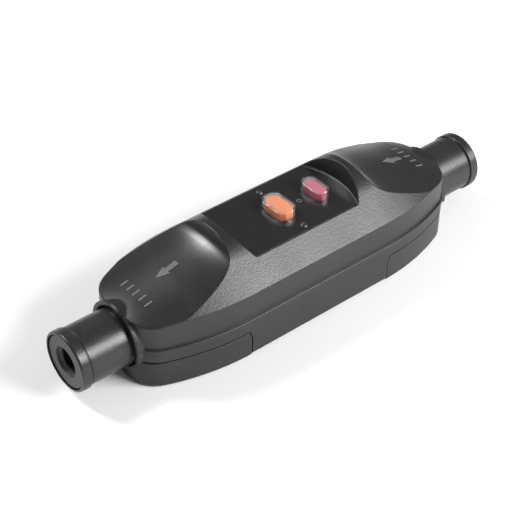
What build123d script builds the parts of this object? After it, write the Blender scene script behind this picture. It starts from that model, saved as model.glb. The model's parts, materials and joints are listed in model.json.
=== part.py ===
from build123d import *
from math import asin, cos, degrees, radians, sin, sqrt, tan
import os

# In-line residual current unit: a long casing with two test and reset keys on its
# crest, a terminal chamber under each end and a screwed cable gland at each tip.
# X runs from the load end to the supply end, Z is up, and the base rests at zero.

# Casing plan
half_width = 27.5
straight_half = 36.5
side_radius = 105.0
corner_radius = 14.0
end_face = 83.9
wall = 2.4
fit_gap = 0.15
overrun = 6.0

# Casing heights above the base
gland_axis = 17.5
crest_height = 48.5
panel_depth = 8.3
joint_height = 17.9
seam_height = 13.3
middle_lift = 0.6

# Crest and shoulders
crest_radius = 24.0
shoulder_angle = 43.0
shoulder_edge = 0.6
crown_share = 0.83

# Lip and band that run round the joint
lip_out = 1.0
lip_rise = 1.7
lip_edge = 0.5
band_out = 0.7
cover_out = 0.6
band_edge = 0.35
base_edge = 1.2

# Thumb scoops at both ends, as turned surfaces
scoop_start = 37.0
scoop_rim_drop = 0.9
scoop_end_rise = 0.03
scoop_turn_radius = 61.0
scoop_rim_edge = 0.6
scoop_along_shares = (0.0128, 0.0341, 0.068, 0.1471, 0.309, 0.533, 0.7245, 0.8716)
scoop_fall_shares = (0.0723, 0.1572, 0.2359, 0.3441, 0.4831, 0.6573, 0.7969, 0.8913)

# Recess and panel
recess_half = 32.1
recess_radius = 39.0
recess_lean = 10.0
recess_edge = 0.8
recess_rim_edge = 0.35
panel_inset = 0.9
panel_half = 17.9
panel_thickness = 1.2
panel_corner = 1.0
panel_screw_x = 0.6
panel_screw_y = 14.4
panel_screw_head = 1.65
panel_screw_dome = 0.9
panel_screw_shank = 0.8
panel_screw_cross = 1.0
panel_screw_slot = 0.45

# Keys: centre, length, width, corner cut
reset_x = -0.8
reset_length = 15.8
reset_width = 9.6
reset_cut = 2.6
test_x = 19.2
test_length = 13.6
test_width = 7.4
test_cut = 2.2
key_rise = 3.9
key_wall = 0.8
key_gap = 0.2
key_corner = 1.2
key_flange = 1.0
key_flange_out = 1.1
key_travel = 1.5
stem_radius = 1.7
stem_clear = 0.3
key_edge = 0.35
key_fit = 0.1
key_air = 0.5
spring_radius = 4.3
spring_wire = 0.35
spring_turns = 4

# Gland
gland_tip = 108.7
nut_radius = 12.5
nut_clearance = 1.0
nut_inner_end = 79.5
nut_rim_radius = 13.15
nut_rim_width = 4.6
nut_rim_edge = 0.9
nut_groove = 0.3
nut_groove_width = 0.6
nut_chamfer = 0.4
collar_wall = 1.9
collar_out = 1.0
collar_depth = 7.6
flange_radius = 14.2
flange_width = 2.8
thread_radius = 10.0
thread_clearance = 0.1
spigot_length = 21.0
gland_bore = 7.0
seal_radius = 8.1
seal_length = 10.5
seal_stand = 0.8
cable_radius = 5.3
washer_radius = 9.4
washer_bore = 6.5
washer_thickness = 1.5
end_gap = 0.3
insert_radius = 11.6
insert_gap = 0.35
insert_sunk = 0.5
insert_thickness = 3.6
insert_sleeve = 7.4
mouth_radius = 6.5
mouth_edge = 0.5
mouth_depth = 1.2
mouth_taper = 0.8
web_thickness = 2.5

# Terminal covers, shelf and end fastenings
cover_split = 37.4
cover_gap = 0.5
cover_reveal = 0.8
cover_notch = 1.4
cover_notch_rise = 2.4
end_screw_x = 59.4
end_screw_share = 0.625
middle_screw_x = 30.5
middle_screw_inset = 6.5
boss_radius = 3.3
screw_radius = 1.4
screw_clearance = 0.3
screw_fit = 0.1
screw_head = 2.7
screw_head_height = 2.0
screw_sunk = 1.0
screw_bite = 9.0
screw_slot = 0.8
head_boss = 4.3
shelf_reach = 53.0
shelf_thickness = 2.2
partition = 2.4

# Joint gasket
gasket_width = 1.0
gasket_height = 0.9
gasket_gap = 0.05
gasket_stop = 16.4
gasket_inset = 0.7

# Terminals
strip_near = 40.0
strip_length = 10.0
strip_half = 14.6
strip_height = 8.8
pole_pitch = 9.0
block_side = 6.4
block_gap = 0.2
block_height = 8.0
wire_hole = 1.9
clamp_screw = 1.5
clamp_screw_length = 4.0
clamp_screw_proud = 0.6
wire_hole_depth = 5.0
wire_hole_roof = 1.0

# Cord grips
grip_x = 66.0
grip_width = 6.0
grip_half = 13.6
grip_height = 4.2
grip_screw_y = 10.6
grip_boss = 2.9
grip_screw = 1.1
grip_screw_head = 2.2
grip_screw_head_height = 1.6
grip_screw_bite = 8.0
grip_saddle = 5.8
grip_saddle_depth = 1.6
anvil_width = 2.4
anvil_half = 8.0

# Circuit board and what it carries
board_half_length = 27.5
board_inset = 8.9
board_height = 26.0
board_thickness = 1.6
post_x = 24.0
post_inset = 12.1
post_radius = 2.7
board_screw = 1.1
board_screw_length = 8.0
board_screw_head = 2.2
board_screw_head_height = 1.4
switch_side = 5.2
switch_height = 3.4
switch_stem = 1.2
relay_left = -22.0
relay_length = 24.0
relay_half = 8.0
relay_y = -4.5
relay_height = 15.0
core_x = 13.0
core_y = -4.5
core_radius = 10.2
core_bore = 5.6
core_width = 8.0
strap_width = 2.2
strap_thickness = 1.0
strap_height = 12.4
strap_pinch = 2.0

# Values worked out from the ones above
corner_reach = end_face - corner_radius
side_turn = degrees(asin((corner_reach - straight_half) / (side_radius - corner_radius)))
side_centre_y = half_width - side_radius
corner_centre_y = side_centre_y + (side_radius - corner_radius) * cos(radians(side_turn))
tangent_x = straight_half + side_radius * sin(radians(side_turn))
crest_centre = crest_height - crest_radius
panel_height = crest_height - panel_depth
shoulder_slope = tan(radians(shoulder_angle))
shoulder_span = crest_radius * sin(radians(shoulder_angle))
shoulder_height = (crest_centre + crest_radius * cos(radians(shoulder_angle))
                   - (half_width - shoulder_span) * shoulder_slope)
scoop_end_height = shoulder_height + scoop_end_rise
end_screw_y = half_width * end_screw_share
middle_screw_y = half_width - middle_screw_inset
arch_radius = nut_radius + nut_clearance
collar_radius = arch_radius + collar_wall
collar_end = end_face + collar_out
collar_start = collar_end - collar_depth
flange_out = collar_start - end_gap
flange_in = flange_out - flange_width
web_out = flange_in - end_gap
web_in = web_out - web_thickness
spigot_end = flange_out + spigot_length
seal_out = spigot_end + seal_stand
seal_in = seal_out - seal_length
washer_in = seal_out + end_gap
washer_out = washer_in + washer_thickness
nut_wall_in = washer_out + end_gap
insert_out = gland_tip - insert_sunk
insert_in = insert_out - insert_thickness
floor_top = middle_lift + wall
shelf_bottom = joint_height - shelf_thickness
key_seat = panel_height - panel_thickness - wall
board_top = board_height + board_thickness
board_half_width = half_width - board_inset
post_y = half_width - post_inset
earth_y = (core_y + core_radius + post_y - post_radius) / 2
reset_top = panel_height + key_rise
ends = (("load", -1), ("supply", 1))
keys = (("reset", reset_x, reset_length, reset_width, reset_cut),
        ("test", test_x, test_length, test_width, test_cut))
switch_top = board_top + switch_height + switch_stem
stem_end = switch_top + stem_clear + key_travel
flange_top = key_seat - key_fit
flange_low = flange_top - key_flange
core_height = board_height - core_radius
grip_top = gland_axis - cable_radius - key_fit
web_bore = thread_radius + nut_clearance
strip_bottom = shelf_bottom - strip_height
block_x = strip_near + strip_length / 2
block_near = block_x - block_side / 2
wire_height = strip_bottom + block_height - wire_hole_roof - wire_hole
cover_top = seam_height - cover_reveal
screw_top = joint_height + screw_bite
panel_screw_spots = [(panel_screw_x, panel_screw_y), (panel_screw_x, -panel_screw_y)]
end_screw_spots = [(sx * end_screw_x, sy * end_screw_y) for sx in (-1, 1) for sy in (-1, 1)]
middle_screw_spots = [(sx * middle_screw_x, sy * middle_screw_y) for sx in (-1, 1) for sy in (-1, 1)]
post_spots = [(sx * post_x, sy * post_y) for sx in (-1, 1) for sy in (-1, 1)]

os.makedirs("parts", exist_ok=True)


def keep(piece, label):
    """Names a finished piece and writes it."""
    piece.label = label
    export_step(piece, f"parts/{label}.step")


def plan_face(inset, level):
    """Plan outline of the casing, drawn in from its wall, at a height."""
    with BuildSketch(Plane.XY.offset(level)) as face:
        with BuildLine():
            Line((0, half_width - inset), (straight_half, half_width - inset))
            CenterArc((straight_half, side_centre_y), side_radius - inset, 90, -side_turn)
            corner = CenterArc((corner_reach, corner_centre_y), corner_radius - inset,
                               90 - side_turn, side_turn - 90)
            Line(corner @ 1, (end_face - inset, 0))
            mirror(about=Plane.YZ)
            mirror(about=Plane.XZ)
        make_face()
    return face.sketch


def span_face(inset, level, low, high):
    """The plan outline between two places along the length."""
    with BuildSketch(Plane.XY.offset(level)) as face:
        with Locations(((low + high) / 2, 0)):
            Rectangle(high - low, 4 * half_width)
        add(plan_face(inset, level), mode=Mode.INTERSECT)
    return face.sketch


def flank_face(inset, level, reach):
    """Outline between the long sides, whose bend runs on to a reach of its own."""
    far_turn = degrees(asin((reach - straight_half) / (side_radius - inset)))
    with BuildSketch(Plane.XY.offset(level)) as face:
        with BuildLine():
            side = CenterArc((straight_half, side_centre_y), side_radius - inset,
                             90 - far_turn, far_turn)
            Line((reach, 0), side @ 0)
            Line(side @ 1, (0, half_width - inset))
            mirror(about=Plane.YZ)
            mirror(about=Plane.XZ)
        make_face()
    return face.sketch


def arch_face(skin):
    """Cross section under the crest, with room for the shoulders beside it."""
    with BuildSketch(Plane.YZ.offset(-end_face - overrun)) as face:
        with BuildLine():
            crown = CenterArc((0, crest_centre), crest_radius - skin,
                              90 - shoulder_angle, 2 * shoulder_angle)
            far = half_width + overrun
            side = (crown @ 0).Y
            Polyline(crown @ 0, (far, side), (far, 0), (-far, 0), (-far, side), crown @ 1)
        make_face()
    return face.sketch


def scoop_cutter(skin):
    """Both thumb scoops: one floor line turned about a low lengthwise axis."""
    start = scoop_start - skin
    rim = crest_height - scoop_rim_drop - skin
    run = end_face - scoop_start
    fall = crest_height - scoop_rim_drop - scoop_end_height
    shares = zip(scoop_along_shares, scoop_fall_shares)
    middle = [(start + along * run, rim - down * fall) for along, down in shares]
    last = (start + run, rim - fall)
    beyond = (end_face + overrun, last[1] - overrun / 3)
    with BuildPart() as cutter:
        with BuildSketch(Plane.XZ):
            with BuildLine():
                floor = Spline((start, rim), *middle, last)
                Polyline(floor @ 1, beyond, (beyond[0], crest_height + overrun),
                         (start, crest_height + overrun), floor @ 0)
            make_face()
        revolve(axis=Axis((0, 0, scoop_end_height - scoop_turn_radius), (1, 0, 0)))
        mirror(about=Plane.YZ)
    return cutter.part


def round_the_scoop(edge):
    """True for the edges that border a thumb scoop above the shoulders."""
    box = edge.bounding_box()
    return (min(abs(box.min.X), abs(box.max.X)) > straight_half + fit_gap
            and box.min.Z > shoulder_height - scoop_rim_edge
            and box.max.Z > shoulder_height + scoop_rim_edge
            and box.size.Y > fit_gap)


def round_the_outline(edge):
    """True for the edges where the upright wall ends."""
    box = edge.bounding_box()
    return (box.min.Z > joint_height + lip_rise + scoop_rim_edge
            and box.max.Z < shoulder_height + scoop_rim_edge / 2)


def round_the_recess(edge):
    """True for the curved edges where the walls beside the panel meet the crest."""
    box = edge.bounding_box()
    return (min(abs(box.min.X), abs(box.max.X)) > board_half_length / 2
            and max(abs(box.min.X), abs(box.max.X)) < straight_half
            and box.max.Z > crest_height - scoop_rim_drop
            and box.size.Y > half_width / 2)


def casing_form(skin, bottom):
    """Outer form of the upper casing, or its inner one with a skin taken off."""
    shoulder = shoulder_height - skin * tan(radians(shoulder_angle / 2))
    crown = crest_centre + crest_radius * cos(radians(shoulder_angle * crown_share))
    half = half_width - skin - (crown - shoulder) / shoulder_slope
    reach = end_face + overrun / 2
    crown_reach = scoop_start + 2 * overrun
    with BuildPart() as form:
        extrude(flank_face(skin, bottom, reach), amount=shoulder - bottom)
        extrude(flank_face(skin, shoulder, reach), amount=crown - shoulder,
                taper=90 - shoulder_angle)
        extrude(flank_face(half_width - half, crown, crown_reach), amount=crest_radius)
        extrude(plan_face(skin, bottom), amount=crest_height, mode=Mode.INTERSECT)
        extrude(arch_face(skin), amount=2 * (end_face + overrun), mode=Mode.INTERSECT)
        add(scoop_cutter(skin), mode=Mode.SUBTRACT)
        if skin == 0:
            fillet(form.edges().filter_by(round_the_scoop), scoop_rim_edge)
            fillet(form.edges().filter_by(round_the_outline), shoulder_edge)
    return form.part


def recess_cutter(level, grow):
    """The space above the panel, ending in curved walls that lean outwards."""
    far = shoulder_span + overrun
    radius = recess_radius + grow
    centre = recess_half - recess_radius
    reach = centre + sqrt(radius ** 2 - far ** 2)
    with BuildPart() as cutter:
        with BuildSketch(Plane.XY.offset(level)):
            with BuildLine():
                Line((-reach, far), (reach, far))
                ThreePointArc((reach, far), (centre + radius, 0), (reach, -far))
                Line((reach, -far), (-reach, -far))
                ThreePointArc((-reach, -far), (-centre - radius, 0), (-reach, far))
            make_face()
        extrude(amount=crest_height + overrun - level, taper=-recess_lean)
        if grow == 0:
            low_edges = cutter.edges().filter_by(at_height(level))
            fillet(low_edges.filter_by(GeomType.LINE, reverse=True), recess_edge)
    return cutter.part


def panel_face(gap, level):
    """Outline of the inlaid panel."""
    radius = recess_radius - panel_inset - gap
    half = panel_half - gap
    centre = recess_half - recess_radius
    reach = centre + sqrt(radius ** 2 - half ** 2)
    with BuildSketch(Plane.XY.offset(level)) as face:
        with BuildLine():
            Line((-reach, half), (reach, half))
            ThreePointArc((reach, half), (centre + radius, 0), (reach, -half))
            Line((reach, -half), (-reach, -half))
            ThreePointArc((-reach, -half), (-centre - radius, 0), (-reach, half))
        make_face()
        fillet(face.vertices(), panel_corner)
    return face.sketch


def key_face(x, length, width, cut, grow, level):
    """Long eight-sided outline of a key with softened corners, grown outwards."""
    a = width / 2 + grow
    b = length / 2 + grow
    c = cut + grow * (2 - sqrt(2))
    with BuildSketch(Plane(origin=(x, 0, level))) as face:
        with BuildLine():
            Polyline((-a, c - b), (c - a, -b), (a - c, -b), (a, c - b),
                     (a, b - c), (a - c, b), (c - a, b), (-a, b - c), close=True)
        make_face()
        fillet(face.vertices(), key_corner)
    return face.sketch


def rod(side, start, end, radius, mode=Mode.ADD):
    """A round bar on the gland axis between two distances from the middle."""
    low = min(side * start, side * end)
    plane = Plane(origin=(low, 0, gland_axis), z_dir=(1, 0, 0))
    with BuildSketch(plane) as disc:
        Circle(radius)
    return extrude(disc.sketch, amount=abs(end - start), mode=mode)


def block(x0, x1, y0, y1, z0, z1, mode=Mode.ADD):
    """A box between opposite corners."""
    with Locations(((x0 + x1) / 2, (y0 + y1) / 2, (z0 + z1) / 2)):
        return Box(abs(x1 - x0), abs(y1 - y0), abs(z1 - z0), mode=mode)


def posts(spots, radius, low, high, mode=Mode.ADD):
    """Upright round posts or holes between two heights."""
    with Locations(*[(x, y, (low + high) / 2) for x, y in spots]):
        return Cylinder(radius, high - low, mode=mode)


def turned(side, outline, mode=Mode.ADD):
    """A closed outline of distances and radii, turned about the gland axis."""
    with BuildSketch(Plane.XZ) as face:
        with BuildLine():
            Polyline(*[(side * along, gland_axis + radius) for along, radius in outline], close=True)
        make_face()
    return revolve(face.sketch, axis=Axis((0, 0, gland_axis), (1, 0, 0)), mode=mode)


def slotted_screws(spots, low, high, radius, head, head_height, up):
    """Screws with slotted heads; a head is at the low end when the screws point up."""
    seat = low if up else high
    head_far = seat - head_height if up else seat + head_height
    posts(spots, radius, low, high)
    posts(spots, head, min(seat, head_far), max(seat, head_far))
    for x, y in spots:
        block(x - head, x + head, y - screw_slot / 2, y + screw_slot / 2,
              head_far, (seat + head_far) / 2, Mode.SUBTRACT)


def at_height(level):
    """A test for edges that lie flat at one height."""
    return lambda edge: (abs(edge.center().Z - level) < fit_gap
                         and edge.bounding_box().size.Z < fit_gap)


def lip_plate():
    """The plate whose rounded rim stands out as the lip above the joint."""
    with BuildPart() as plate:
        extrude(plan_face(-lip_out, joint_height), amount=lip_rise)
        fillet(plate.edges().filter_by(at_height(joint_height + lip_rise)), lip_edge)
    return plate.part


def band_plate():
    """The band between the seam and the joint, rounded where it meets the lip."""
    with BuildPart() as plate:
        extrude(plan_face(-band_out, seam_height), amount=joint_height - seam_height)
        fillet(plate.edges().filter_by(at_height(joint_height)), band_edge)
    return plate.part


def upper_cavity():
    """Inside of the upper casing, with its bosses, webs and collars left standing."""
    with BuildPart() as cavity:
        add(casing_form(wall, joint_height - overrun))
        add(recess_cutter(key_seat, wall), mode=Mode.SUBTRACT)
        posts(end_screw_spots + middle_screw_spots, boss_radius, 0, crest_height, Mode.SUBTRACT)
        for side in (-1, 1):
            rod(side, collar_start, collar_end, collar_radius, Mode.SUBTRACT)
            block(side * web_in, side * web_out, -half_width, half_width, 0, crest_height,
                  Mode.SUBTRACT)
            rod(side, web_in, web_out, web_bore)
            rod(side, web_out, collar_start, flange_radius + end_gap)
            middle = side * grip_x
            block(middle - anvil_width / 2, middle + anvil_width / 2, -anvil_half, anvil_half,
                  gland_axis + cable_radius, crest_height, Mode.SUBTRACT)
            posts([(middle, -grip_screw_y), (middle, grip_screw_y)], grip_boss, 0, crest_height,
                  Mode.SUBTRACT)
    return cavity.part


def make_upper_casing():
    with BuildPart() as upper_casing:
        add(casing_form(0, joint_height))
        for side in (-1, 1):
            rod(side, collar_start, collar_end, collar_radius)
        block(-gland_tip, gland_tip, -gland_tip, gland_tip, 0, joint_height, Mode.SUBTRACT)
        add(lip_plate())
        add(recess_cutter(panel_height, 0), mode=Mode.SUBTRACT)
        fillet(upper_casing.edges().filter_by(round_the_recess), recess_rim_edge)
        extrude(panel_face(0, panel_height - panel_thickness), amount=panel_thickness,
                mode=Mode.SUBTRACT)
        add(upper_cavity(), mode=Mode.SUBTRACT)
        for side in (-1, 1):
            rod(side, flange_out, collar_end + overrun, arch_radius, Mode.SUBTRACT)
            spots = [(side * grip_x, -grip_screw_y), (side * grip_x, grip_screw_y)]
            posts(spots, grip_boss, grip_top, joint_height + wall)
            posts(spots, grip_screw + screw_fit, grip_top, grip_top + grip_screw_bite,
                  Mode.SUBTRACT)
        for name, x, length, width, cut in keys:
            extrude(key_face(x, length, width, cut, key_gap, key_seat - wall),
                    amount=crest_height, mode=Mode.SUBTRACT)
        posts(end_screw_spots + middle_screw_spots, screw_radius + screw_fit, 0, screw_top,
              Mode.SUBTRACT)
        posts(panel_screw_spots, panel_screw_shank + screw_fit, key_seat - wall, panel_height,
              Mode.SUBTRACT)
    keep(upper_casing.part, "upper_casing")


def lower_cavity():
    """Space inside the lower casing, with its bosses, shelf and webs left standing."""
    with BuildPart() as cavity:
        inner = cover_split - partition
        extrude(span_face(wall, floor_top, -inner, inner), amount=joint_height)
        for side in (-1, 1):
            low, high = sorted((side * cover_split, side * shelf_reach))
            extrude(span_face(wall, 0, low, high), amount=shelf_bottom)
            low, high = sorted((side * shelf_reach, side * gland_tip))
            extrude(span_face(wall, 0, low, high), amount=joint_height + wall)
            block(side * web_in, side * web_out, -half_width, half_width, 0, joint_height + wall,
                  Mode.SUBTRACT)
            rod(side, web_in, web_out, web_bore)
            for y in (-1, 1):
                block(side * collar_start, side * collar_end, y * arch_radius, y * collar_radius,
                      0, joint_height + wall, Mode.SUBTRACT)
        for x, y in end_screw_spots:
            block(x - boss_radius, x + boss_radius, y, 2 * y, 0, joint_height + wall,
                  Mode.SUBTRACT)
        posts(middle_screw_spots + end_screw_spots, head_boss, 0, joint_height + wall,
              Mode.SUBTRACT)
        posts(post_spots, post_radius, 0, joint_height + wall, Mode.SUBTRACT)
    return cavity.part


def gasket_ring(gap, level, height, mode=Mode.ADD):
    """Two strips that follow the joint and stop beside the glands."""
    with BuildPart() as ring:
        extrude(plan_face(gasket_inset - gap, level), amount=height)
        extrude(plan_face(gasket_inset + gasket_width + gap, level), amount=height,
                mode=Mode.SUBTRACT)
        for side in (-1, 1):
            block(side * tangent_x, side * gland_tip, -gasket_stop, gasket_stop, level,
                  level + height, Mode.SUBTRACT)
    return ring.part


def make_lower_casing():
    middle = cover_split
    with BuildPart() as lower_casing:
        extrude(span_face(-band_out, middle_lift, -middle, middle),
                amount=seam_height - middle_lift)
        low_edges = lower_casing.edges().filter_by(at_height(middle_lift)).filter_by(
            lambda edge: abs(edge.center().Y) > half_width / 2)
        fillet(low_edges, base_edge)
        add(band_plate())
        for side in (-1, 1):
            block(side * collar_start, side * collar_end, -collar_radius, collar_radius,
                  seam_height, joint_height)
            for y in (-1, 1):
                block(side * cover_split, side * (cover_split + cover_notch - cover_gap),
                      y * (half_width - wall), y * (half_width + band_out),
                      seam_height - cover_notch_rise, seam_height)
        add(lower_cavity(), mode=Mode.SUBTRACT)
        posts(post_spots, post_radius, floor_top - wall / 2, board_height)
        for side in (-1, 1):
            block(side * (collar_start - end_gap), side * gland_tip, -arch_radius, arch_radius,
                  0, joint_height + wall, Mode.SUBTRACT)
            for y in (-pole_pitch, 0, pole_pitch):
                block(side * (cover_split - partition - overrun), side * (cover_split + overrun),
                      y - strap_width / 2 - end_gap, y + strap_width / 2 + end_gap,
                      strap_height - end_gap, strap_height + strap_thickness + end_gap,
                      Mode.SUBTRACT)
        add(gasket_ring(gasket_gap, joint_height - gasket_height - gasket_gap,
                        gasket_height + 2 * gasket_gap), mode=Mode.SUBTRACT)
        posts(post_spots, board_screw + screw_fit, board_height - board_screw_length - end_gap,
              board_height, Mode.SUBTRACT)
        posts(end_screw_spots + middle_screw_spots, screw_radius + screw_clearance, 0,
              joint_height, Mode.SUBTRACT)
        posts(middle_screw_spots, screw_head + screw_clearance, 0,
              middle_lift + screw_sunk + screw_head_height, Mode.SUBTRACT)
    keep(lower_casing.part, "lower_casing")


def make_terminal_cover(name, side):
    near = cover_split + cover_gap
    low, high = sorted((side * near, side * gland_tip))
    inset = wall - cover_out
    spots = [spot for spot in end_screw_spots if spot[0] * side > 0]
    with BuildPart() as hollow:
        extrude(span_face(inset, wall, low, high), amount=cover_top)
        rod(side, collar_start, collar_end, collar_radius, Mode.SUBTRACT)
        block(side * web_in, side * web_out, -half_width, half_width, 0, cover_top, Mode.SUBTRACT)
        rod(side, web_in, web_out, web_bore)
        posts(spots, head_boss, 0, cover_top + wall, Mode.SUBTRACT)
    with BuildPart() as terminal_cover:
        extrude(span_face(-cover_out, 0, low, high), amount=cover_top)
        low_edges = terminal_cover.edges().filter_by(at_height(0)).filter_by(
            lambda edge: abs(edge.center().X) > near + fit_gap)
        fillet(low_edges, base_edge)
        add(hollow.part, mode=Mode.SUBTRACT)
        rod(side, flange_out, collar_end + overrun, arch_radius, Mode.SUBTRACT)
        posts(spots, screw_radius + screw_clearance, 0, cover_top, Mode.SUBTRACT)
        posts(spots, screw_head + screw_clearance, 0, screw_sunk + screw_head_height,
              Mode.SUBTRACT)
        for y in (-1, 1):
            block(side * near, side * (cover_split + cover_notch), y * (half_width - 2 * wall),
                  y * (half_width + wall), seam_height - cover_notch_rise - cover_gap, seam_height,
                  Mode.SUBTRACT)
    keep(terminal_cover.part, f"terminal_cover_{name}")


def make_casing_gasket():
    with BuildPart() as casing_gasket:
        add(gasket_ring(0, joint_height - gasket_height, gasket_height))
    keep(casing_gasket.part, "casing_gasket")


def make_panel():
    with BuildPart() as key_panel:
        extrude(panel_face(fit_gap, panel_height - panel_thickness), amount=panel_thickness)
        for name, x, length, width, cut in keys:
            extrude(key_face(x, length, width, cut, key_gap, panel_height - panel_thickness),
                    amount=panel_thickness, mode=Mode.SUBTRACT)
        posts(panel_screw_spots, panel_screw_shank + screw_fit, key_seat, panel_height,
              Mode.SUBTRACT)
    keep(key_panel.part, "key_panel")


def make_panel_screws():
    reach = panel_screw_head
    low = panel_thickness + wall / 2
    dome_radius = (reach ** 2 + panel_screw_dome ** 2) / (2 * panel_screw_dome)
    dome_turn = degrees(asin(reach / dome_radius))
    with BuildPart() as panel_screws:
        for x, y in panel_screw_spots:
            with BuildSketch(Plane(origin=(x, y, panel_height), x_dir=(1, 0, 0),
                                   z_dir=(0, -1, 0))) as half:
                with BuildLine():
                    dome = CenterArc((0, panel_screw_dome - dome_radius), dome_radius, 90,
                                     -dome_turn)
                    Polyline(dome @ 1, (panel_screw_shank, 0), (panel_screw_shank, -low),
                             (0, -low), dome @ 0)
                make_face()
            revolve(half.sketch, axis=Axis((x, y, 0), (0, 0, 1)))
        top = panel_height + panel_screw_dome
        for x, y in panel_screw_spots:
            for along, across in ((panel_screw_cross, panel_screw_slot / 2),
                                  (panel_screw_slot / 2, panel_screw_cross)):
                block(x - along, x + along, y - across, y + across, top - panel_screw_slot, top,
                      Mode.SUBTRACT)
    keep(panel_screws.part, "panel_screws")


def make_casing_screws():
    low = middle_lift + screw_sunk + screw_head_height
    with BuildPart() as casing_screws:
        slotted_screws(middle_screw_spots, low, screw_top - end_gap, screw_radius, screw_head,
                       screw_head_height, True)
    keep(casing_screws.part, "casing_screws")


def make_cover_screws():
    low = screw_sunk + screw_head_height
    with BuildPart() as cover_screws:
        slotted_screws(end_screw_spots, low, screw_top - end_gap, screw_radius, screw_head,
                       screw_head_height, True)
    keep(cover_screws.part, "cover_screws")


def make_gland_body(name, side):
    pocket = seal_radius + thread_clearance
    with BuildPart() as gland_body:
        turned(side, [(flange_in, gland_bore), (flange_in, flange_radius),
                      (flange_out, flange_radius), (flange_out, thread_radius),
                      (spigot_end - nut_chamfer, thread_radius),
                      (spigot_end, thread_radius - nut_chamfer), (spigot_end, pocket),
                      (seal_in, pocket), (seal_in, gland_bore)])
    keep(gland_body.part, f"gland_body_{name}")


def make_cable_seal(name, side):
    with BuildPart() as cable_seal:
        turned(side, [(seal_in, cable_radius), (seal_in, seal_radius), (spigot_end, seal_radius),
                      (seal_out, seal_radius - seal_stand), (seal_out, cable_radius)])
    keep(cable_seal.part, f"cable_seal_{name}")


def make_slip_washer(name, side):
    with BuildPart() as slip_washer:
        turned(side, [(washer_in, washer_bore), (washer_in, washer_radius),
                      (washer_out, washer_radius), (washer_out, washer_bore)])
    keep(slip_washer.part, f"slip_washer_{name}")


def make_gland_nut(name, side):
    bore = thread_radius + thread_clearance
    groove_radius = nut_radius - nut_groove
    rim_start = gland_tip - nut_rim_width
    groove_start = rim_start - nut_groove_width
    socket = insert_radius + insert_gap
    sleeve = insert_sleeve + fit_gap
    with BuildPart() as gland_nut:
        turned(side, [(nut_inner_end, bore), (nut_inner_end, nut_radius - nut_chamfer),
                      (nut_inner_end + nut_chamfer, nut_radius), (groove_start, nut_radius),
                      (groove_start, groove_radius), (rim_start, groove_radius),
                      (rim_start, nut_rim_radius - nut_chamfer),
                      (rim_start + nut_chamfer, nut_rim_radius), (gland_tip, nut_rim_radius),
                      (gland_tip, socket), (insert_in, socket), (insert_in, sleeve),
                      (nut_wall_in, sleeve), (nut_wall_in, bore)])
        outer = gland_nut.edges().filter_by(GeomType.CIRCLE).filter_by(
            lambda edge: abs(abs(edge.center().X) - gland_tip) < fit_gap)
        fillet(outer.filter_by(lambda edge: edge.radius > socket + fit_gap), nut_rim_edge)
    keep(gland_nut.part, f"gland_nut_{name}")


def make_nut_insert(name, side):
    mouth = insert_out - mouth_depth
    with BuildPart() as nut_insert:
        turned(side, [(nut_wall_in, cable_radius), (nut_wall_in, insert_sleeve),
                      (insert_in, insert_sleeve), (insert_in, insert_radius),
                      (insert_out, insert_radius), (insert_out, mouth_radius),
                      (mouth, mouth_radius), (mouth - mouth_taper, cable_radius)])
        rims = nut_insert.edges().filter_by(GeomType.CIRCLE).filter_by(
            lambda edge: abs(abs(edge.center().X) - insert_out) < fit_gap)
        fillet(rims, mouth_edge)
    keep(nut_insert.part, f"nut_insert_{name}")


def make_cord_grip(name, side):
    middle = side * grip_x
    spots = [(middle, -grip_screw_y), (middle, grip_screw_y)]
    low = grip_top - grip_height
    with BuildPart() as cord_grip:
        block(middle - grip_width / 2, middle + grip_width / 2, -grip_half, grip_half, low,
              grip_top)
        chamfer(cord_grip.edges().filter_by(Axis.Z), nut_chamfer)
        with BuildSketch(Plane.YZ) as saddle:
            with Locations((0, grip_top + grip_saddle - grip_saddle_depth)):
                Circle(grip_saddle)
        extrude(saddle.sketch, amount=gland_tip, both=True, mode=Mode.SUBTRACT)
        posts(spots, grip_screw + screw_fit, low, grip_top, Mode.SUBTRACT)
    keep(cord_grip.part, f"cord_grip_{name}")


def make_grip_screws():
    spots = [(sx * grip_x, sy * grip_screw_y) for sx in (-1, 1) for sy in (-1, 1)]
    with BuildPart() as grip_screws:
        slotted_screws(spots, grip_top - grip_height, grip_top + grip_screw_bite - end_gap,
                       grip_screw, grip_screw_head, grip_screw_head_height, True)
    keep(grip_screws.part, "grip_screws")


def make_terminal_strip(name, side):
    inner = block_side / 2 + block_gap
    with BuildPart() as terminal_strip:
        block(side * strip_near, side * (strip_near + strip_length), -strip_half, strip_half,
              strip_bottom, shelf_bottom)
        for y in (-pole_pitch, 0, pole_pitch):
            middle = side * block_x
            block(middle - inner, middle + inner, y - inner, y + inner, strip_bottom - overrun,
                  strip_bottom + block_height + block_gap, Mode.SUBTRACT)
            block(side * (strip_near - overrun), middle, y - strap_width / 2 - end_gap,
                  y + strap_width / 2 + end_gap, strap_height - end_gap,
                  strap_height + strap_thickness + end_gap, Mode.SUBTRACT)
            with BuildSketch(Plane(origin=(middle, y, wire_height), z_dir=(side, 0, 0))) as hole:
                Circle(wire_hole + end_gap)
            extrude(hole.sketch, amount=strip_length, mode=Mode.SUBTRACT)
    keep(terminal_strip.part, f"terminal_strip_{name}")


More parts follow.
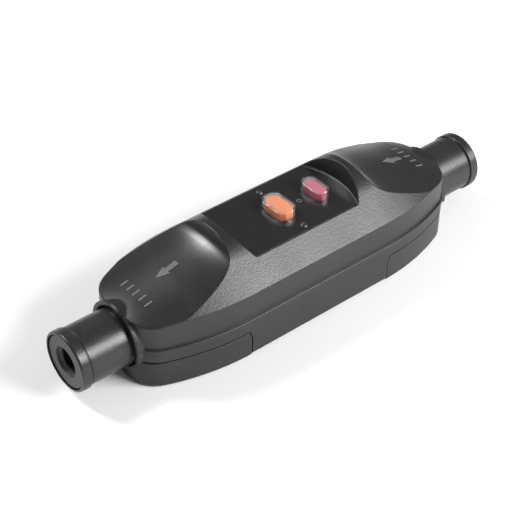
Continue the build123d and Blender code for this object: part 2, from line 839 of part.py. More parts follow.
def make_terminals(name, side):
    with BuildPart() as terminals:
        for y in (-pole_pitch, 0, pole_pitch):
            middle = side * block_x
            block(middle - block_side / 2, middle + block_side / 2, y - block_side / 2,
                  y + block_side / 2, strip_bottom, strip_bottom + block_height)
            far = side * (block_x + block_side / 2)
            with BuildSketch(Plane(origin=(far, y, wire_height), z_dir=(-side, 0, 0))) as hole:
                Circle(wire_hole)
            extrude(hole.sketch, amount=wire_hole_depth, mode=Mode.SUBTRACT)
        posts([(middle, y) for y in (-pole_pitch, 0, pole_pitch)], clamp_screw + screw_fit,
              strip_bottom, wire_height, Mode.SUBTRACT)
    keep(terminals.part, f"terminals_{name}")


def make_terminal_screws():
    spots = [(sx * block_x, y) for sx in (-1, 1) for y in (-pole_pitch, 0, pole_pitch)]
    low = strip_bottom - clamp_screw_proud
    with BuildPart() as terminal_screws:
        posts(spots, clamp_screw, low, low + clamp_screw_length)
        for x, y in spots:
            block(x - clamp_screw, x + clamp_screw, y - screw_slot / 2, y + screw_slot / 2, low,
                  low + clamp_screw_proud, Mode.SUBTRACT)
    keep(terminal_screws.part, "terminal_screws")


def make_circuit_board():
    with BuildPart() as circuit_board:
        block(-board_half_length, board_half_length, -board_half_width, board_half_width,
              board_height, board_top)
        chamfer(circuit_board.edges().filter_by(Axis.Z), shoulder_edge)
        posts(post_spots, board_screw + screw_clearance, board_height, board_top, Mode.SUBTRACT)
    keep(circuit_board.part, "circuit_board")


def make_board_screws():
    with BuildPart() as board_screws:
        slotted_screws(post_spots, board_height - board_screw_length, board_top, board_screw,
                       board_screw_head, board_screw_head_height, False)
    keep(board_screws.part, "board_screws")


def make_key_switches():
    half = switch_side / 2
    body_top = board_top + switch_height
    with BuildPart() as key_switches:
        for name, x, length, width, cut in keys:
            block(x - half, x + half, -half, half, board_top, body_top)
        posts([(reset_x, 0), (test_x, 0)], stem_radius, body_top, switch_top)
    keep(key_switches.part, "key_switches")


def make_trip_relay():
    with BuildPart() as trip_relay:
        block(relay_left, relay_left + relay_length, relay_y - relay_half, relay_y + relay_half,
              board_height - relay_height, board_height)
        chamfer(trip_relay.edges().filter_by(Axis.Z), nut_chamfer)
    keep(trip_relay.part, "trip_relay")


def make_sensing_core():
    with BuildPart() as sensing_core:
        with BuildSketch(Plane(origin=(core_x - core_width / 2, core_y, core_height),
                               z_dir=(1, 0, 0))) as ring:
            Circle(core_radius)
            Circle(core_bore, mode=Mode.SUBTRACT)
        extrude(ring.sketch, amount=core_width)
        rims = sensing_core.edges().filter_by(GeomType.CIRCLE)
        fillet(rims, shoulder_edge)
    keep(sensing_core.part, "sensing_core")


def strap(route):
    """A flat conductor that follows a route at one height."""
    half = strap_width / 2
    with BuildSketch(Plane.XY.offset(strap_height)) as face:
        with BuildLine():
            near = [(x, y - half) for x, y in route]
            far = [(x, y + half) for x, y in reversed(route)]
            Polyline(*near, *far, close=True)
        make_face()
    return extrude(face.sketch, amount=strap_thickness)


def make_straps():
    relay_right = relay_left + relay_length
    inner = cover_split - partition - overrun / 6
    bend = board_half_length - strap_pinch
    with BuildPart() as supply_straps:
        for y, pinch in ((0, core_y + strap_pinch), (-pole_pitch, core_y - strap_pinch)):
            strap([(relay_right, pinch), (core_x + core_width, pinch),
                   (inner, y), (block_near, y)])
    keep(supply_straps.part, "supply_straps")
    with BuildPart() as load_straps:
        for y, pinch in ((0, core_y + strap_pinch), (-pole_pitch, core_y - strap_pinch)):
            strap([(-block_near, y), (-inner, y), (-bend, pinch), (relay_left, pinch)])
    keep(load_straps.part, "load_straps")
    with BuildPart() as earth_strap:
        strap([(-block_near, earth_y), (block_near, earth_y)])
    keep(earth_strap.part, "earth_strap")


def make_key(name, x, length, width, cut):
    """A key: coloured body with flange and stem, clear cap over it, spring below."""
    shrink = key_wall + key_air
    body_top = reset_top - key_wall - key_air
    with BuildPart() as key_body:
        extrude(key_face(x, length, width, cut, -shrink, flange_low), amount=body_top - flange_low)
        extrude(key_face(x, length, width, cut, key_flange_out, flange_low), amount=key_flange)
        posts([(x, 0)], stem_radius, stem_end, flange_low)
    keep(key_body.part, f"{name}_key")
    with BuildPart() as key_cap:
        extrude(key_face(x, length, width, cut, 0, flange_top), amount=reset_top - flange_top)
        rim = key_cap.edges().filter_by(at_height(reset_top))
        fillet(rim, key_edge)
        extrude(key_face(x, length, width, cut, -key_wall, flange_top),
                amount=reset_top - flange_top - key_wall, mode=Mode.SUBTRACT)
    keep(key_cap.part, f"{name}_key_cap")
    height = flange_low - board_top - 2 * spring_wire
    with BuildPart() as key_spring:
        with BuildLine(Plane(origin=(x, 0, board_top + spring_wire))) as coil:
            Helix(height / spring_turns, height, spring_radius)
        with BuildSketch(Plane(origin=coil.line @ 0, z_dir=coil.line % 0)):
            Circle(spring_wire)
        sweep(path=coil.line)
    keep(key_spring.part, f"{name}_spring")


make_upper_casing()
make_lower_casing()
make_casing_gasket()
make_panel()
make_panel_screws()
make_casing_screws()
make_cover_screws()
for end_name, end_side in ends:
    make_terminal_cover(end_name, end_side)
    make_gland_body(end_name, end_side)
    make_cable_seal(end_name, end_side)
    make_slip_washer(end_name, end_side)
    make_gland_nut(end_name, end_side)
    make_nut_insert(end_name, end_side)
    make_cord_grip(end_name, end_side)
    make_terminal_strip(end_name, end_side)
    make_terminals(end_name, end_side)
make_grip_screws()
make_terminal_screws()
make_circuit_board()
make_board_screws()
make_key_switches()
make_trip_relay()
make_sensing_core()
make_straps()
for key in keys:
    make_key(*key)
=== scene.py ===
import json
from math import radians

import bmesh
import bpy
from mathutils import Matrix, Vector
from mathutils.bvhtree import BVHTree


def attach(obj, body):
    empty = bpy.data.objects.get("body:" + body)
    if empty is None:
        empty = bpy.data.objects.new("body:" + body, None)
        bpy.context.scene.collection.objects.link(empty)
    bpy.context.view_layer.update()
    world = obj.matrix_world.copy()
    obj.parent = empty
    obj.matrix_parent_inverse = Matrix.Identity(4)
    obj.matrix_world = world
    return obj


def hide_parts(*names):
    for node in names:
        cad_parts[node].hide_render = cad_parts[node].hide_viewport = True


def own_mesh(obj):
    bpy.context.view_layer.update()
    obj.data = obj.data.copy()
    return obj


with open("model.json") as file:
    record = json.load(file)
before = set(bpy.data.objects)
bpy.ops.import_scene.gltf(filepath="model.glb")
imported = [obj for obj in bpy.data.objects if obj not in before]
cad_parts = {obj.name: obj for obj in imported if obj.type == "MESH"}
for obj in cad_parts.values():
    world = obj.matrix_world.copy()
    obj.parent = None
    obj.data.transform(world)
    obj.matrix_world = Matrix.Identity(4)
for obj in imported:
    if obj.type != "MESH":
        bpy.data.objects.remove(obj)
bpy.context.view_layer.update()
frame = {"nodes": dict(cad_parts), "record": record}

# In-line residual current unit: dark moulded casing, sunken panel with two capped keys,
# a screwed cable gland at each end. Lengths are in metres, in the frame of the solids.
MM = 0.001
GLAND_AXIS = 17.5 * MM

LAMP_AIM = (0, 0, 20 * MM)
WORLD_LIGHT = 0.23
FLOOR_TONE = 0.97
FLOOR_DROP = 0.2 * MM

# Grain: scale of its slow tones, and scale and share of its wide pits against the fine ones.
TONE_SCALE = 38.0
WIDE_SCALE = 0.43
WIDE_SHARE = 0.35

# How far a softened normal leaves the true one where a painted edge highlight begins, and
# where it is full.
HIGHLIGHT_START = 0.02
HIGHLIGHT_FULL = 0.25

# Noise values between which a pale tone, a speck, a duller sheen, a scuff and a haze come in.
TONE_SPAN = (0.35, 0.65)
SPECK_SPAN = (0.52, 0.68)
SHEEN_SPAN = (0.3, 0.7)
SCUFF_SPAN = (0.4, 0.75)
HAZE_SPAN = (0.4, 0.8)

# Moulded plastic: how much paler its specks and its painted edge highlights are, and their
# shares.
SPECK_GAIN = 2.2
SPECK_SHARE = 0.35
EDGE_HIGHLIGHT_GAIN = 7.0
EDGE_HIGHLIGHT_SHARE = 0.6

# The scoops are glossier than the casing, and nearly without its grain.
SCOOP_GLOSS = 0.09
SCOOP_FLAT = 0.9

# Where masks on the casing and inserts begin and end: distance from the middle past the
# crest, sideways share of a scoop's normal, height of the scoops, distance from the middle
# near the casing's ends, and distance from the gland's axis inside a bore.
PAST_CREST = (37.2 * MM, 38.2 * MM)
SCOOP_TURN = (0.36, 0.52)
SCOOP_HEIGHT = (28.5 * MM, 30.0 * MM)
NEAR_END = (76.0 * MM, 79.5 * MM)
BORE_WALL = (6.1 * MM, 6.4 * MM)
# Painted shade: the inside of the cable's bore is coloured near black for the shade in the
# hole.
BORE_PAINTED_SHADE = (0.002, 0.002, 0.002)

# Marks: how deep they are rooted in the skin, how far they and the ring stand out of it,
# their softened edge, the angle in radians from which an edge counts as a rim, and a height
# above all pieces, from which the skin is looked for.
MARK_ROOT = 0.25 * MM
MARK_RISE = 0.3 * MM
RING_RISE = 0.2 * MM
MARK_EDGE = 0.1 * MM
RIM_ANGLE = 0.9
ABOVE_ALL = 60 * MM

# Plans of the marks, in millimetres. Each scoop has an arrow, given by the tip and base of
# its head and the end of its tail, and a row of ribs, given by their end nearer to the load.
# An arrow's tip keeps a small share of the head's width, so that its faces don't collapse.
FLOW_MARKS = {
    "load": {"tip": -64.4, "base": -59.0, "tail": -53.8, "ribs": -75.6},
    "supply": {"tip": 58.8, "base": 64.2, "tail": 69.6, "ribs": 72.0}}
PATCH_PITCH = 0.6
ARROW_LAP = 0.5
TAIL_HALF = 1.15
HEAD_HALF = 2.4
TIP_SHARE = 0.04
RIB_ROWS = (-8.0, -4.0, 0.0, 4.0, 8.0)
RIB_LENGTH = 3.6
RIB_HALF = 0.3
RING_CENTRE = (9.8, -0.7)
RING_RADIUS = 1.1
RING_WIDTH = 0.3
RING_SIDES = 28


def add_object(name, data):
    """A new object in the scene."""
    made = bpy.data.objects.new(name, data)
    bpy.context.collection.objects.link(made)
    return made


def add_mesh(name, bm, material):
    """A new object in the scene from a working mesh, in one material."""
    mesh = bpy.data.meshes.new(name)
    bm.to_mesh(mesh)
    bm.free()
    mesh.materials.append(material)
    return add_object(name, mesh)


def math_node(tree, operation, *values):
    """A Math node whose inputs are sockets or plain values."""
    node = tree.nodes.new("ShaderNodeMath")
    node.operation = operation
    for place, value in enumerate(values):
        if isinstance(value, (int, float)):
            node.inputs[place].default_value = value
        else:
            tree.links.new(value, node.inputs[place])
    return node.outputs[0]


def noise_node(tree, vector, scale, detail, roughness):
    """A noise whose scale is a socket or a plain value."""
    node = tree.nodes.new("ShaderNodeTexNoise")
    if isinstance(scale, (int, float)):
        node.inputs["Scale"].default_value = scale
    else:
        tree.links.new(scale, node.inputs["Scale"])
    node.inputs["Detail"].default_value = detail
    node.inputs["Roughness"].default_value = roughness
    tree.links.new(vector, node.inputs["Vector"])
    return node.outputs["Fac"]


def map_range(tree, value, low, high, new_low, new_high):
    """A value taken from one range to another and held inside it."""
    node = tree.nodes.new("ShaderNodeMapRange")
    for label, number in (("From Min", low), ("From Max", high), ("To Min", new_low),
                          ("To Max", new_high)):
        node.inputs[label].default_value = number
    tree.links.new(value, node.inputs["Value"])
    return node.outputs["Result"]


def mix_colours(tree, mask, first, second):
    """A colour between two, by a mask. Each is a socket or a plain colour."""
    node = tree.nodes.new("ShaderNodeMix")
    node.data_type = "RGBA"
    tree.links.new(mask, node.inputs["Factor"])
    for place, colour in (("A", first), ("B", second)):
        socket = [s for s in node.inputs if s.name == place and s.type == "RGBA"][0]
        if isinstance(colour, tuple):
            socket.default_value = (*colour, 1.0)
        else:
            tree.links.new(colour, socket)
    return [s for s in node.outputs if s.type == "RGBA"][0]


def split_vector(tree, vector):
    """The X, Y and Z of a vector."""
    node = tree.nodes.new("ShaderNodeSeparateXYZ")
    tree.links.new(vector, node.inputs[0])
    return node.outputs["X"], node.outputs["Y"], node.outputs["Z"]


def white_background(tree, strength):
    """A white background of a given strength."""
    node = tree.nodes.new("ShaderNodeBackground")
    node.inputs["Color"].default_value = (1, 1, 1, 1)
    node.inputs["Strength"].default_value = strength
    return node.outputs[0]


def new_group(name, inputs, outputs):
    """A node group with named inputs and outputs, and its own start and end nodes."""
    group = bpy.data.node_groups.new(name, "ShaderNodeTree")
    for label, kind, value in inputs:
        socket = group.interface.new_socket(label, in_out="INPUT", socket_type=kind)
        if value is not None:
            socket.default_value = value
    for label, kind in outputs:
        group.interface.new_socket(label, in_out="OUTPUT", socket_type=kind)
    return group, group.nodes.new("NodeGroupInput"), group.nodes.new("NodeGroupOutput")


def make_grain_group():
    """Fine pitted surface of a spark-eroded mould, with slow changes of tone."""
    group, start, end = new_group(
        "moulded grain",
        [("Vector", "NodeSocketVector", None), ("Scale", "NodeSocketFloat", 1500.0)],
        [("Height", "NodeSocketFloat"), ("Tone", "NodeSocketFloat")])
    vector, scale = start.outputs["Vector"], start.outputs["Scale"]
    fine = noise_node(group, vector, scale, detail=1.0, roughness=0.6)
    wide = noise_node(group, vector, math_node(group, "MULTIPLY", scale, WIDE_SCALE),
                      detail=1.0, roughness=0.5)
    height = math_node(group, "ADD", math_node(group, "MULTIPLY", fine, 1 - WIDE_SHARE),
                       math_node(group, "MULTIPLY", wide, WIDE_SHARE))
    slow = noise_node(group, vector, TONE_SCALE, detail=3.0, roughness=0.6)
    group.links.new(height, end.inputs["Height"])
    group.links.new(slow, end.inputs["Tone"])
    return group


def make_soft_edge_group():
    """Mask of a painted edge highlight, where a softened normal leaves the true one, and the
    softened normal.
    """
    group, start, end = new_group(
        "soft edge and painted highlight", [("Radius", "NodeSocketFloat", 0.4 * MM)],
        [("Mask", "NodeSocketFloat"), ("Normal", "NodeSocketVector")])
    bevel = group.nodes.new("ShaderNodeBevel")
    bevel.samples = 6
    group.links.new(start.outputs["Radius"], bevel.inputs["Radius"])
    place = group.nodes.new("ShaderNodeNewGeometry")
    dot = group.nodes.new("ShaderNodeVectorMath")
    dot.operation = "DOT_PRODUCT"
    group.links.new(bevel.outputs["Normal"], dot.inputs[0])
    group.links.new(place.outputs["Normal"], dot.inputs[1])
    leaving = math_node(group, "SUBTRACT", 1.0, dot.outputs["Value"])
    group.links.new(map_range(group, leaving, HIGHLIGHT_START, HIGHLIGHT_FULL, 0.0, 1.0),
                    end.inputs["Mask"])
    group.links.new(bevel.outputs["Normal"], end.inputs["Normal"])
    return group


GRAIN = make_grain_group()
SOFT_EDGE_GROUP = make_soft_edge_group()


def start_material(name):
    """A new node material with its shader and the object's coordinates."""
    material = bpy.data.materials.new(name)
    material.use_nodes = True
    tree = material.node_tree
    shader = tree.nodes["Principled BSDF"]
    place = tree.nodes.new("ShaderNodeTexCoord")
    return material, tree, shader, place.outputs["Object"]


def place_group(tree, group):
    """A node that stands for a group."""
    node = tree.nodes.new("ShaderNodeGroup")
    node.node_tree = group
    return node


def soften_edges(tree, radius):
    """The group of softened edge normals and a painted edge highlight mask, with a radius in
    metres.
    """
    edge_node = place_group(tree, SOFT_EDGE_GROUP)
    edge_node.inputs["Radius"].default_value = radius
    return edge_node


def add_relief(tree, shader, height, depth, normal):
    """Fine relief on top of a softened normal."""
    bump = tree.nodes.new("ShaderNodeBump")
    bump.inputs["Distance"].default_value = depth
    tree.links.new(height, bump.inputs["Height"])
    tree.links.new(normal, bump.inputs["Normal"])
    tree.links.new(bump.outputs["Normal"], shader.inputs["Normal"])


def paler(colour, gain):
    """A colour made brighter by a gain, up to white."""
    return tuple(min(1.0, gain * share) for share in colour)


def distance_along(tree, vector):
    """Distance from the middle of the casing along its length."""
    return math_node(tree, "ABSOLUTE", split_vector(tree, vector)[0])


def scoop_mask(tree, vector):
    """One inside the two scoops of the upper casing, none on the rest of it."""
    facing = tree.nodes.new("ShaderNodeNewGeometry")
    sideways = math_node(tree, "ABSOLUTE", split_vector(tree, facing.outputs["Normal"])[1])
    beyond = map_range(tree, distance_along(tree, vector), *PAST_CREST, 0.0, 1.0)
    inside = map_range(tree, sideways, *SCOOP_TURN, 1.0, 0.0)
    high = map_range(tree, split_vector(tree, vector)[2], *SCOOP_HEIGHT, 0.0, 1.0)
    return math_node(tree, "MULTIPLY", math_node(tree, "MULTIPLY", beyond, inside), high)


def end_mask(tree, vector):
    """Rises from none to one towards the two ends of the casing."""
    return map_range(tree, distance_along(tree, vector), *NEAR_END, 0.0, 1.0)


def bore_mask(tree, vector):
    """Where shade is painted: one inside the cable's bore, none on the face around its mouth.
    """
    _, side, height = split_vector(tree, vector)
    up = math_node(tree, "SUBTRACT", height, GLAND_AXIS)
    span = math_node(tree, "ADD", math_node(tree, "MULTIPLY", up, up),
                     math_node(tree, "MULTIPLY", side, side))
    return map_range(tree, math_node(tree, "SQRT", span), *BORE_WALL, 1.0, 0.0)


def moulded_plastic(name, dark, pale, rough, grain_scale, grain_depth, edge_radius,
                    part="plain"):
    """Moulded plastic with fine grain, slow tone changes, and softened edges with a painted
    highlight.
    """
    material, tree, shader, vector = start_material(name)
    grain = place_group(tree, GRAIN)
    grain.inputs["Scale"].default_value = grain_scale
    tree.links.new(vector, grain.inputs["Vector"])
    edge_node = soften_edges(tree, edge_radius)
    tone = map_range(tree, grain.outputs["Tone"], *TONE_SPAN, 0.0, 1.0)
    body = mix_colours(tree, tone, dark, pale)
    # On an insert, painted shade darkens the inside of the cable's bore.
    if part == "insert":
        body = mix_colours(tree, bore_mask(tree, vector), body, BORE_PAINTED_SHADE)
    height = grain.outputs["Height"]
    speck = map_range(tree, height, *SPECK_SPAN, 0.0, SPECK_SHARE)
    speckled = mix_colours(tree, speck, body, paler(pale, SPECK_GAIN))
    # Painted highlight: edges are coloured paler where the softened normal turns away from the
    # true one.
    edge_highlight = math_node(tree, "MULTIPLY", edge_node.outputs["Mask"], EDGE_HIGHLIGHT_SHARE)
    roughness = map_range(tree, grain.outputs["Tone"], *SHEEN_SPAN, rough - 0.04, rough + 0.05)
    if part == "casing":
        # Near the ends the edges are rounder and get less of the painted highlight.
        near_end = end_mask(tree, vector)
        wide = map_range(tree, near_end, 0.0, 1.0, edge_radius, 4 * edge_radius)
        tree.links.new(wide, edge_node.inputs["Radius"])
        edge_highlight = math_node(tree, "MULTIPLY", edge_highlight, math_node(tree, "SUBTRACT", 1.0, near_end))
        scoop = scoop_mask(tree, vector)
        gloss = math_node(tree, "MULTIPLY", scoop, SCOOP_GLOSS)
        roughness = math_node(tree, "SUBTRACT", roughness, gloss)
        flat = math_node(tree, "MULTIPLY", scoop, SCOOP_FLAT)
        height = math_node(tree, "MULTIPLY", height, math_node(tree, "SUBTRACT", 1.0, flat))
    highlighted = mix_colours(tree, edge_highlight, speckled, paler(pale, EDGE_HIGHLIGHT_GAIN))
    tree.links.new(highlighted, shader.inputs["Base Color"])
    tree.links.new(roughness, shader.inputs["Roughness"])
    add_relief(tree, shader, height, grain_depth, edge_node.outputs["Normal"])
    return material


def polished_plastic(name, dark, pale, rough, edge_radius):
    """Smooth glossy plastic with faint scuffs."""
    material, tree, shader, vector = start_material(name)
    cloud = noise_node(tree, vector, 60.0, detail=4.0, roughness=0.6)
    tree.links.new(mix_colours(tree, cloud, dark, pale), shader.inputs["Base Color"])
    scuff = noise_node(tree, vector, 700.0, detail=3.0, roughness=0.7)
    tree.links.new(map_range(tree, scuff, *SCUFF_SPAN, rough, rough + 0.16),
                   shader.inputs["Roughness"])
    normal = soften_edges(tree, edge_radius).outputs["Normal"]
    add_relief(tree, shader, scuff, 0.02 * MM, normal)
    return material


def turned_metal(name, dark, pale, rough):
    """Plated or plain metal with fine tool marks."""
    material, tree, shader, vector = start_material(name)
    cloud = noise_node(tree, vector, 900.0, detail=3.0, roughness=0.6)
    tree.links.new(mix_colours(tree, cloud, dark, pale), shader.inputs["Base Color"])
    tree.links.new(map_range(tree, cloud, *SHEEN_SPAN, rough, rough + 0.12),
                   shader.inputs["Roughness"])
    shader.inputs["Metallic"].default_value = 1.0
    edge_node = soften_edges(tree, 0.15 * MM)
    tree.links.new(edge_node.outputs["Normal"], shader.inputs["Normal"])
    return material


def clear_plastic():
    """Colourless clear cap with faint moulding marks."""
    material, tree, shader, vector = start_material("clear cap")
    shader.inputs["Transmission Weight"].default_value = 0.955
    shader.inputs["IOR"].default_value = 1.45
    haze = noise_node(tree, vector, 500.0, detail=2.0, roughness=0.5)
    tree.links.new(map_range(tree, haze, *HAZE_SPAN, 0.05, 0.12), shader.inputs["Roughness"])
    tint = mix_colours(tree, haze, (0.97, 0.98, 0.99), (0.9, 0.92, 0.94))
    tree.links.new(tint, shader.inputs["Base Color"])
    edge_node = soften_edges(tree, 0.5 * MM)
    tree.links.new(edge_node.outputs["Normal"], shader.inputs["Normal"])
    return material


def make_finishes():
    """The finish of each material slot."""
    cream = moulded_plastic("cream plastic", dark=(0.5, 0.48, 0.42), pale=(0.6, 0.58, 0.52),
                            rough=0.45, grain_scale=1200.0, grain_depth=0.05 * MM,
                            edge_radius=0.3 * MM)
    return {
        "casing_plastic": moulded_plastic(
            "casing plastic", dark=(0.012, 0.012, 0.0124), pale=(0.017, 0.017, 0.0174),
            rough=0.38, grain_scale=1900.0, grain_depth=0.13 * MM, edge_radius=0.4 * MM,
            part="casing"),
        "gland_plastic": moulded_plastic(
            "gland plastic", dark=(0.014, 0.014, 0.014), pale=(0.020, 0.0195, 0.019),
            rough=0.34, grain_scale=1500.0, grain_depth=0.07 * MM, edge_radius=0.3 * MM),
        "insert_plastic": moulded_plastic(
            "insert plastic", dark=(0.038, 0.037, 0.036), pale=(0.05, 0.048, 0.046),
            rough=0.45, grain_scale=1300.0, grain_depth=0.05 * MM, edge_radius=0.3 * MM,
            part="insert"),
        "seal_rubber": moulded_plastic(
            "seal rubber", dark=(0.018, 0.018, 0.018), pale=(0.03, 0.03, 0.03),
            rough=0.7, grain_scale=1100.0, grain_depth=0.1 * MM, edge_radius=0.3 * MM),
        "relay_plastic": cream,
        "strip_plastic": cream,
        "core_resin": moulded_plastic(
            "core resin", dark=(0.04, 0.07, 0.16), pale=(0.06, 0.1, 0.22),
            rough=0.35, grain_scale=1200.0, grain_depth=0.05 * MM, edge_radius=0.4 * MM),
        "board_laminate": moulded_plastic(
            "board laminate", dark=(0.02, 0.1, 0.045), pale=(0.03, 0.15, 0.07),
            rough=0.4, grain_scale=1800.0, grain_depth=0.03 * MM, edge_radius=0.2 * MM),
        "relief": moulded_plastic(
            "relief plastic", dark=(0.085, 0.085, 0.085), pale=(0.130, 0.130, 0.130),
            rough=0.5, grain_scale=2600.0, grain_depth=0.1 * MM, edge_radius=0.2 * MM),
        "panel_plastic": polished_plastic(
            "panel plastic", dark=(0.010, 0.010, 0.0105), pale=(0.015, 0.015, 0.0155),
            rough=0.14, edge_radius=0.2 * MM),
        "reset_plastic": polished_plastic(
            "reset plastic", dark=(0.85, 0.19, 0.015), pale=(0.93, 0.25, 0.03),
            rough=0.3, edge_radius=0.4 * MM),
        "test_plastic": polished_plastic(
            "test plastic", dark=(0.50, 0.02, 0.07), pale=(0.60, 0.035, 0.10),
            rough=0.3, edge_radius=0.4 * MM),
        "screw_steel": turned_metal(
            "screw steel", dark=(0.06, 0.06, 0.062), pale=(0.11, 0.11, 0.113), rough=0.34),
        "spring_steel": turned_metal(
            "spring steel", dark=(0.45, 0.45, 0.46), pale=(0.6, 0.6, 0.61), rough=0.25),
        "terminal_brass": turned_metal(
            "terminal brass", dark=(0.55, 0.38, 0.15), pale=(0.72, 0.52, 0.24), rough=0.3),
        "clear_plastic": clear_plastic()}


def dress_nodes(finishes):
    """Gives every piece of the solids its finish."""
    for row in frame["record"]["subparts"]:
        piece = frame["nodes"][row["node"]]
        piece.data.materials.clear()
        piece.data.materials.append(finishes[row["material_slot"]])


def set_camera():
    """Camera at the photograph's viewing angle."""
    data = bpy.data.cameras.new("camera")
    data.sensor_width = 36.0
    data.lens = 96.92
    data.shift_x = -0.02857
    data.shift_y = -0.02374
    data.clip_start = 0.01
    data.clip_end = 20.0
    camera = add_object("camera", data)
    camera.location = (-0.30887, -0.35443, 0.39819)
    camera.rotation_euler = (radians(50.9933), radians(-1.0540), radians(-40.2168))
    bpy.context.scene.camera = camera


def add_lamp(name, towards, distance, size, power):
    """A soft area lamp that stands in a direction from the casing and faces it."""
    data = bpy.data.lights.new(name, "AREA")
    data.shape = "RECTANGLE"
    data.size, data.size_y = size
    data.energy = power
    lamp = add_object(name, data)
    away = Vector(towards).normalized()
    lamp.location = Vector(LAMP_AIM) + away * distance
    lamp.rotation_mode = "QUATERNION"
    lamp.rotation_quaternion = away.to_track_quat("Z", "Y")


def set_lights():
    """One lamp in front and one behind."""
    add_lamp("lamp_front_right", towards=(0.44, -0.73, 0.50), distance=1.1,
             size=(0.62, 0.50), power=18.0)
    add_lamp("lamp_back_left", towards=(-0.30, 0.60, 0.74), distance=1.3,
             size=(0.42, 0.36), power=13.0)


def set_world():
    """White to the camera and through clear plastic, and softer as a lamp."""
    world = bpy.data.worlds.new("studio")
    bpy.context.scene.world = world
    world.use_nodes = True
    tree = world.node_tree
    tree.nodes.clear()
    path = tree.nodes.new("ShaderNodeLightPath")
    white = math_node(tree, "MAXIMUM", path.outputs["Is Camera Ray"],
                      path.outputs["Is Transmission Ray"])
    mix = tree.nodes.new("ShaderNodeMixShader")
    tree.links.new(white, mix.inputs[0])
    tree.links.new(white_background(tree, WORLD_LIGHT), mix.inputs[1])
    tree.links.new(white_background(tree, 1.0), mix.inputs[2])
    out = tree.nodes.new("ShaderNodeOutputWorld")
    tree.links.new(mix.outputs[0], out.inputs["Surface"])


def set_floor():
    """Pale floor: white where nothing shades it, with the casing's own shadow kept."""
    material = bpy.data.materials.new("floor_paper")
    material.use_nodes = True
    shader = material.node_tree.nodes["Principled BSDF"]
    shader.inputs["Base Color"].default_value = (FLOOR_TONE, FLOOR_TONE, FLOOR_TONE, 1)
    shader.inputs["Roughness"].default_value = 0.9
    shader.inputs["Specular IOR Level"].default_value = 0.1
    bm = bmesh.new()
    bmesh.ops.create_grid(bm, x_segments=1, y_segments=1, size=3.0)
    bmesh.ops.translate(bm, vec=(0, 0, -FLOOR_DROP), verts=bm.verts)
    add_mesh("floor", bm, material)


def skin_of(node):
    """Search tree over a piece of the solids, for marks that lie on its skin."""
    return BVHTree.FromObject(frame["nodes"][node], bpy.context.evaluated_depsgraph_get())


def lay_on_skin(verts, skin, rise):
    """Drops points straight down to a skin and lifts them by a rise."""
    for vert in verts:
        hit = skin.ray_cast(Vector((vert.co.x, vert.co.y, ABOVE_ALL)), Vector((0, 0, -1)))
        vert.co.z = hit[0].z + rise


def raised_mark(name, patches, skin, rise, material):
    """Low raised shapes over a skin of the casing: each patch is a plan form of small faces."""
    bm = bmesh.new()
    for patch in patches:
        patch(bm)
    bmesh.ops.remove_doubles(bm, verts=bm.verts, dist=0.01 * MM)
    lay_on_skin(bm.verts, skin, -MARK_ROOT)
    grown = bmesh.ops.extrude_face_region(bm, geom=bm.faces[:])
    top = {item for item in grown["geom"] if isinstance(item, bmesh.types.BMVert)}
    bmesh.ops.translate(bm, vec=(0, 0, rise + MARK_ROOT), verts=list(top))
    bmesh.ops.recalc_face_normals(bm, faces=bm.faces)
    rims = [edge for edge in bm.edges
            if set(edge.verts) <= top and edge.calc_face_angle(0) > RIM_ANGLE]
    bmesh.ops.bevel(bm, geom=rims, offset=MARK_EDGE, segments=2, profile=0.5, affect="EDGES",
                    material=-1)
    piece = add_mesh(name, bm, material)
    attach(piece, "casing")


def strip_patch(x0, x1, y0, y1):
    """A rectangle in plan."""
    def add(bm):
        along = max(1, round(abs(x1 - x0) / PATCH_PITCH))
        across = max(1, round(abs(y1 - y0) / PATCH_PITCH))
        move = Matrix.Translation(((x0 + x1) / 2 * MM, (y0 + y1) / 2 * MM, 0))
        size = Matrix.Diagonal((abs(x1 - x0) * MM, abs(y1 - y0) * MM, 1, 1))
        bmesh.ops.create_grid(bm, x_segments=along, y_segments=across, size=0.5,
                              matrix=move @ size)
    return add


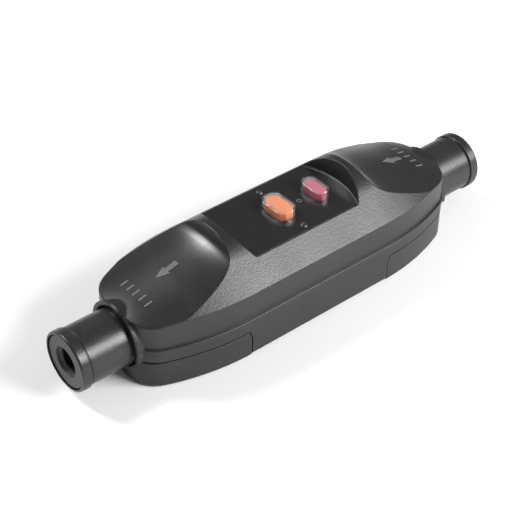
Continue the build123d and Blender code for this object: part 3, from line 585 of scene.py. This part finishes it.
def head_patch(tip, base):
    """An arrow head in plan, from its tip to its base line."""
    def add(bm):
        before = set(bm.verts)
        strip_patch(tip, base, -HEAD_HALF, HEAD_HALF)(bm)
        for vert in set(bm.verts) - before:
            share = (vert.co.x / MM - tip) / (base - tip)
            vert.co.y *= max(share, TIP_SHARE)
    return add


def ring_patch(centre, radius, width):
    """A flat ring in plan."""
    def add(bm):
        place = Matrix.Translation((centre[0] * MM, centre[1] * MM, 0))
        outer, inner = (bmesh.ops.create_circle(bm, cap_ends=False, segments=RING_SIDES,
                                                radius=reach * MM, matrix=place)["verts"]
                        for reach in (radius, radius - width))
        for k in range(RING_SIDES):
            bm.faces.new((outer[k - 1], outer[k], inner[k], inner[k - 1]))
    return add


def add_marks(relief):
    """Raised flow arrows and finger ribs on the scoops, and a ring between the keys."""
    casing = skin_of("upper_casing")
    for end, plan in FLOW_MARKS.items():
        arrow = [strip_patch(plan["base"] - ARROW_LAP, plan["tail"], -TAIL_HALF, TAIL_HALF),
                 head_patch(plan["tip"], plan["base"])]
        ribs = [strip_patch(plan["ribs"], plan["ribs"] + RIB_LENGTH, y - RIB_HALF, y + RIB_HALF)
                for y in RIB_ROWS]
        raised_mark(f"flow_arrow_{end}", arrow, casing, MARK_RISE, relief)
        raised_mark(f"finger_ribs_{end}", ribs, casing, MARK_RISE, relief)
    ring = [ring_patch(RING_CENTRE, RING_RADIUS, RING_WIDTH)]
    raised_mark("panel_ring", ring, skin_of("key_panel"), RING_RISE, relief)


def add_springs(steel):
    """Springs under the keys, as coils copied from the solids and fixed to the casing."""
    for key in ("reset", "test"):
        coil = frame["nodes"][f"{key}_spring"]
        bm = bmesh.new()
        bm.from_mesh(coil.data)
        bmesh.ops.transform(bm, matrix=coil.matrix_world, verts=bm.verts)
        bmesh.ops.remove_doubles(bm, verts=bm.verts, dist=0.001 * MM)
        piece = add_mesh(f"{key}_coil", bm, steel)
        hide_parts(f"{key}_spring")
        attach(piece, "casing")
        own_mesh(piece)


set_camera()
set_floor()
set_world()
set_lights()
FINISHES = make_finishes()
dress_nodes(FINISHES)
add_marks(FINISHES["relief"])
add_springs(FINISHES["spring_steel"])

bpy.context.scene.view_settings.view_transform = "Standard"
